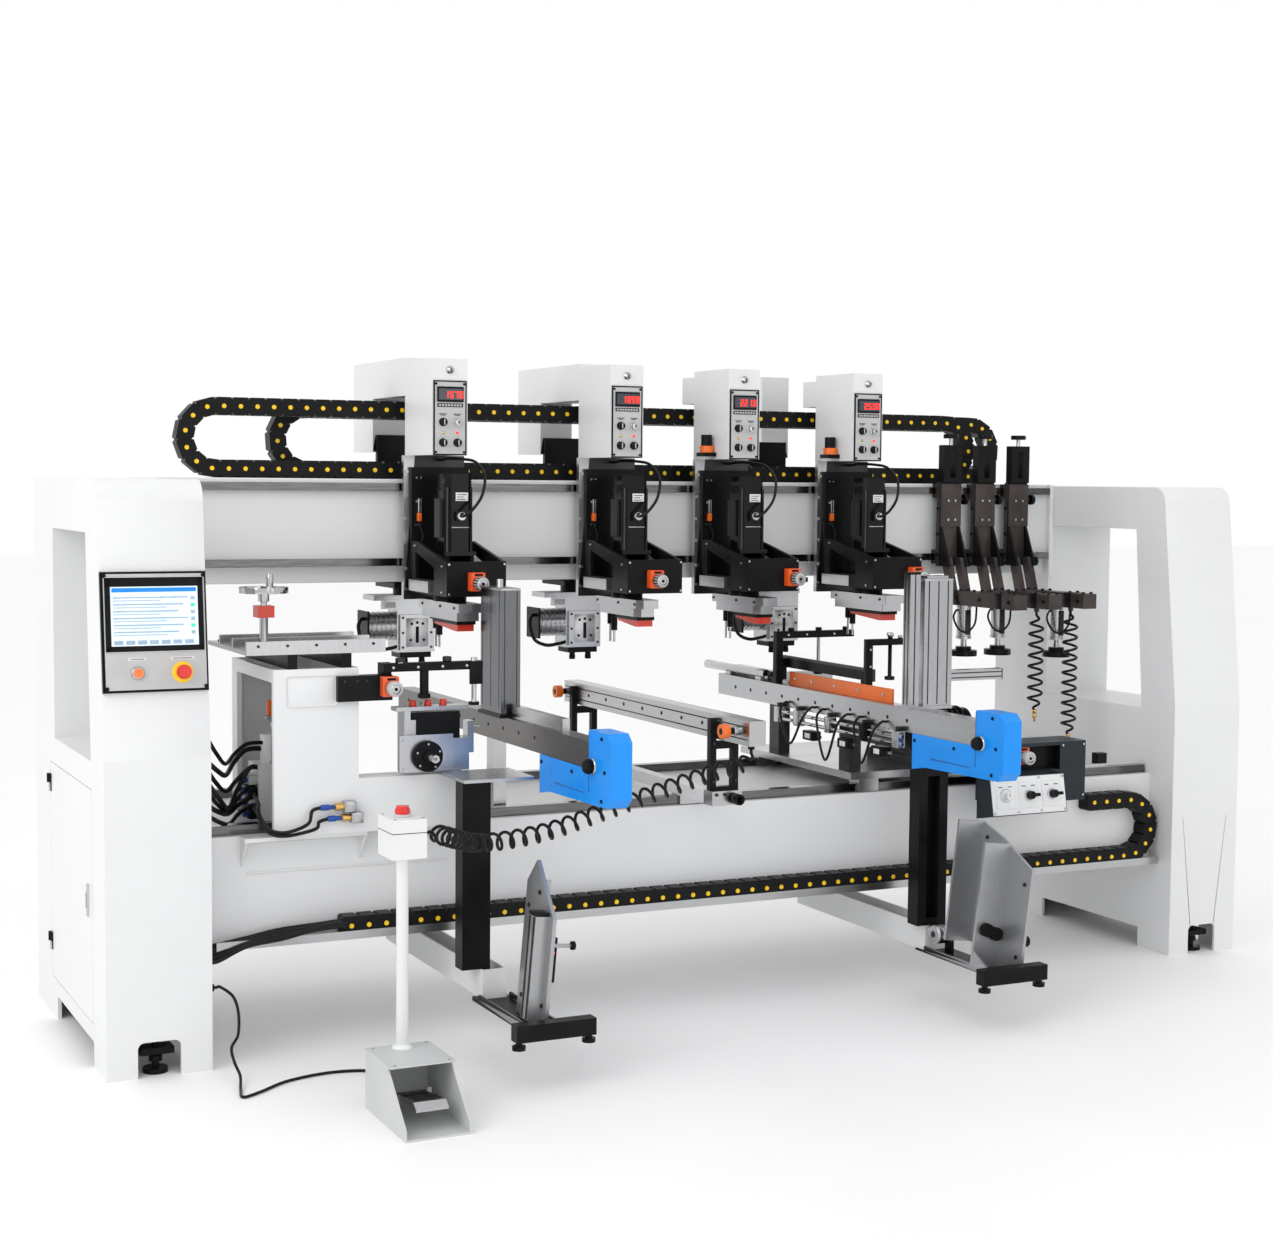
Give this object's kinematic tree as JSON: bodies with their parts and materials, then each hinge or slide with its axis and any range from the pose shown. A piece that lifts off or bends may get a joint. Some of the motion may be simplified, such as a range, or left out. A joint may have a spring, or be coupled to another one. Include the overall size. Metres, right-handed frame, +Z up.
{
  "type": "line boring machine",
  "caption": "Woodworking line boring machine: gantry beam with boring heads, pressers and cable chains over a bed with clamping tables, between two columns with an operator panel.",
  "frame": {"origin": "centre of the footprint, on the floor", "axes": "+Z up, +X along the beam to the operator's right, the operator stands on the -Y side"},
  "size_m": [4.247, 2.22, 2.1711],
  "materials": {
    "white_paint": "satin powder coat",
    "black_paint": "satin black enamel",
    "ground_steel": "ground and oiled",
    "machined_aluminium": "fine machined",
    "chain_plastic": "moulded",
    "panel_plastic": "fine grain",
    "signal_plastic": "glossy moulded",
    "black_rubber": "matt",
    "slate_paint": "satin dark grey enamel",
    "blued_steel": "dark oiled"
  },
  "bodies": {
    "frame": {"left_column": "white_paint", "right_column": "white_paint", "upper_beam": "white_paint", "lower_bed": "white_paint", "guide_rails": "ground_steel", "head_cable_chain": "chain_plastic", "bed_cable_chain": "chain_plastic", "chain_tray": "machined_aluminium", "levelling_feet": "black_paint", "control_panel": "panel_plastic", "left_block": "white_paint", "left_table": "ground_steel", "left_outrigger": "black_paint", "control_gear": "panel_plastic", "stop_stand": "white_paint", "pedal_hood": "white_paint", "pedal_cord": "black_rubber", "coil_hose": "black_rubber"},
    "door": {"cabinet_door": "white_paint"},
    "panel_stop": {"panel_stop_button": "signal_plastic"},
    "panel_start": {"panel_start_button": "signal_plastic"},
    "stand_stop": {"stand_stop_button": "signal_plastic"},
    "pedal": {"foot_pedal": "machined_aluminium"},
    "rear_carriage": {"rear_unit": "white_paint"},
    "right_carriage": {"right_table": "machined_aluminium", "right_console": "slate_paint", "right_outrigger": "black_paint"},
    "right_drill": {"right_drill_unit": "blued_steel"},
    "left_drill": {"left_drill_unit": "machined_aluminium"},
    "middle": {"middle_support": "machined_aluminium"},
    "wheel": {"handwheel": "machined_aluminium"},
    "carriage_1": {"head_carriage_1": "white_paint"},
    "slide_1": {"head_slide_1": "black_paint", "motor_1": "black_paint", "gear_head_1": "machined_aluminium"},
    "spindle_1": {"spindle_1": "ground_steel"},
    "carriage_2": {"head_carriage_2": "white_paint"},
    "slide_2": {"head_slide_2": "black_paint", "motor_2": "black_paint", "gear_head_2": "machined_aluminium"},
    "spindle_2": {"spindle_2": "ground_steel"},
    "carriage_3": {"head_carriage_3": "white_paint"},
    "slide_3": {"head_slide_3": "black_paint", "motor_3": "black_paint", "gear_head_3": "machined_aluminium"},
    "spindle_3": {"spindle_3": "ground_steel"},
    "carriage_4": {"head_carriage_4": "white_paint"},
    "slide_4": {"head_slide_4": "black_paint", "motor_4": "black_paint", "gear_head_4": "machined_aluminium"},
    "spindle_4": {"spindle_4": "ground_steel"},
    "presser_1": {"presser_1": "black_paint"},
    "presser_rod_1": {"presser_rod_1": "ground_steel"},
    "presser_2": {"presser_2": "black_paint", "presser_hose_2": "black_rubber"},
    "presser_rod_2": {"presser_rod_2": "ground_steel"},
    "presser_3": {"presser_3": "black_paint", "presser_hose_3": "black_rubber"},
    "presser_rod_3": {"presser_rod_3": "ground_steel"}
  },
  "joints": [
    {"name": "carriage_1_travel", "type": "slide", "parent": "frame", "child": "carriage_1", "axis": [1, 0, 0], "range_m": [-0.1, 0.1]},
    {"name": "head_1_feed", "type": "slide", "parent": "carriage_1", "child": "slide_1", "axis": [0, 0, 1], "range_m": [-0.08, 0]},
    {"name": "spindle_1_turn", "type": "hinge", "parent": "slide_1", "child": "spindle_1", "pos_m": [-0.8695, 0.348, 1.26], "axis": [0, 0, 1], "continuous": true},
    {"name": "carriage_2_travel", "type": "slide", "parent": "frame", "child": "carriage_2", "axis": [1, 0, 0], "range_m": [-0.1, 0.1]},
    {"name": "head_2_feed", "type": "slide", "parent": "carriage_2", "child": "slide_2", "axis": [0, 0, 1], "range_m": [-0.08, 0]},
    {"name": "spindle_2_turn", "type": "hinge", "parent": "slide_2", "child": "spindle_2", "pos_m": [-0.2145, 0.348, 1.26], "axis": [0, 0, 1], "continuous": true},
    {"name": "carriage_3_travel", "type": "slide", "parent": "frame", "child": "carriage_3", "axis": [1, 0, 0], "range_m": [-0.1, 0.1]},
    {"name": "head_3_feed", "type": "slide", "parent": "carriage_3", "child": "slide_3", "axis": [0, 0, 1], "range_m": [-0.08, 0]},
    {"name": "spindle_3_turn", "type": "hinge", "parent": "slide_3", "child": "spindle_3", "pos_m": [0.2505, 0.348, 1.26], "axis": [0, 0, 1], "continuous": true},
    {"name": "carriage_4_travel", "type": "slide", "parent": "frame", "child": "carriage_4", "axis": [1, 0, 0], "range_m": [-0.1, 0.1]},
    {"name": "head_4_feed", "type": "slide", "parent": "carriage_4", "child": "slide_4", "axis": [0, 0, 1], "range_m": [-0.08, 0]},
    {"name": "spindle_4_turn", "type": "hinge", "parent": "slide_4", "child": "spindle_4", "pos_m": [0.7705, 0.348, 1.26], "axis": [0, 0, 1], "continuous": true},
    {"name": "rear_unit_travel", "type": "slide", "parent": "frame", "child": "rear_carriage", "axis": [1, 0, 0], "range_m": [-0.06, 0.06]},
    {"name": "presser_1_travel", "type": "slide", "parent": "frame", "child": "presser_1", "axis": [1, 0, 0], "range_m": [-0.14, 0]},
    {"name": "presser_1_stroke", "type": "slide", "parent": "presser_1", "child": "presser_rod_1", "axis": [0, 0, 1], "range_m": [-0.06, 0]},
    {"name": "presser_2_travel", "type": "slide", "parent": "frame", "child": "presser_2", "axis": [1, 0, 0], "range_m": [-0.01, 0.01]},
    {"name": "presser_2_stroke", "type": "slide", "parent": "presser_2", "child": "presser_rod_2", "axis": [0, 0, 1], "range_m": [-0.06, 0]},
    {"name": "presser_3_travel", "type": "slide", "parent": "frame", "child": "presser_3", "axis": [1, 0, 0], "range_m": [0, 0.06]},
    {"name": "presser_3_stroke", "type": "slide", "parent": "presser_3", "child": "presser_rod_3", "axis": [0, 0, 1], "range_m": [-0.06, 0]},
    {"name": "table_travel", "type": "slide", "parent": "frame", "child": "right_carriage", "axis": [1, 0, 0], "range_m": [-0.12, 0.12]},
    {"name": "right_drill_feed", "type": "slide", "parent": "right_carriage", "child": "right_drill", "axis": [1, 0, 0], "range_m": [-0.07, 0]},
    {"name": "left_drill_feed", "type": "slide", "parent": "frame", "child": "left_drill", "axis": [1, 0, 0], "range_m": [0, 0.07]},
    {"name": "middle_support_travel", "type": "slide", "parent": "frame", "child": "middle", "axis": [1, 0, 0], "range_m": [-0.1, 0.1], "deforming": ["coil_hose"]},
    {"name": "handwheel_turn", "type": "hinge", "parent": "frame", "child": "wheel", "pos_m": [-1.5855, -0.042, 1.4], "axis": [0, 0, 1], "continuous": true},
    {"name": "door_swing", "type": "hinge", "parent": "frame", "child": "door", "pos_m": [-2.1175, 0.62, 0.48], "axis": [0, 0, 1], "range_deg": [-110, 0]},
    {"name": "panel_stop_press", "type": "slide", "parent": "frame", "child": "panel_stop", "axis": [0, 0.9939, -0.11], "range_m": [0, 0.005], "stiffness_N_per_m": 900, "springref_m": -0.004},
    {"name": "panel_start_press", "type": "slide", "parent": "frame", "child": "panel_start", "axis": [0, 0.9939, -0.11], "range_m": [0, 0.004], "stiffness_N_per_m": 700, "springref_m": -0.004},
    {"name": "stand_stop_press", "type": "slide", "parent": "frame", "child": "stand_stop", "axis": [0, 0, -1], "range_m": [0, 0.005], "stiffness_N_per_m": 900, "springref_m": -0.004},
    {"name": "pedal_press", "type": "hinge", "parent": "frame", "child": "pedal", "pos_m": [-1.4115, -0.88, 0.058], "axis": [1, 0, 0], "range_deg": [0, 10], "stiffness_Nm_per_rad": 10, "springref_deg": -17.19}
  ]
}
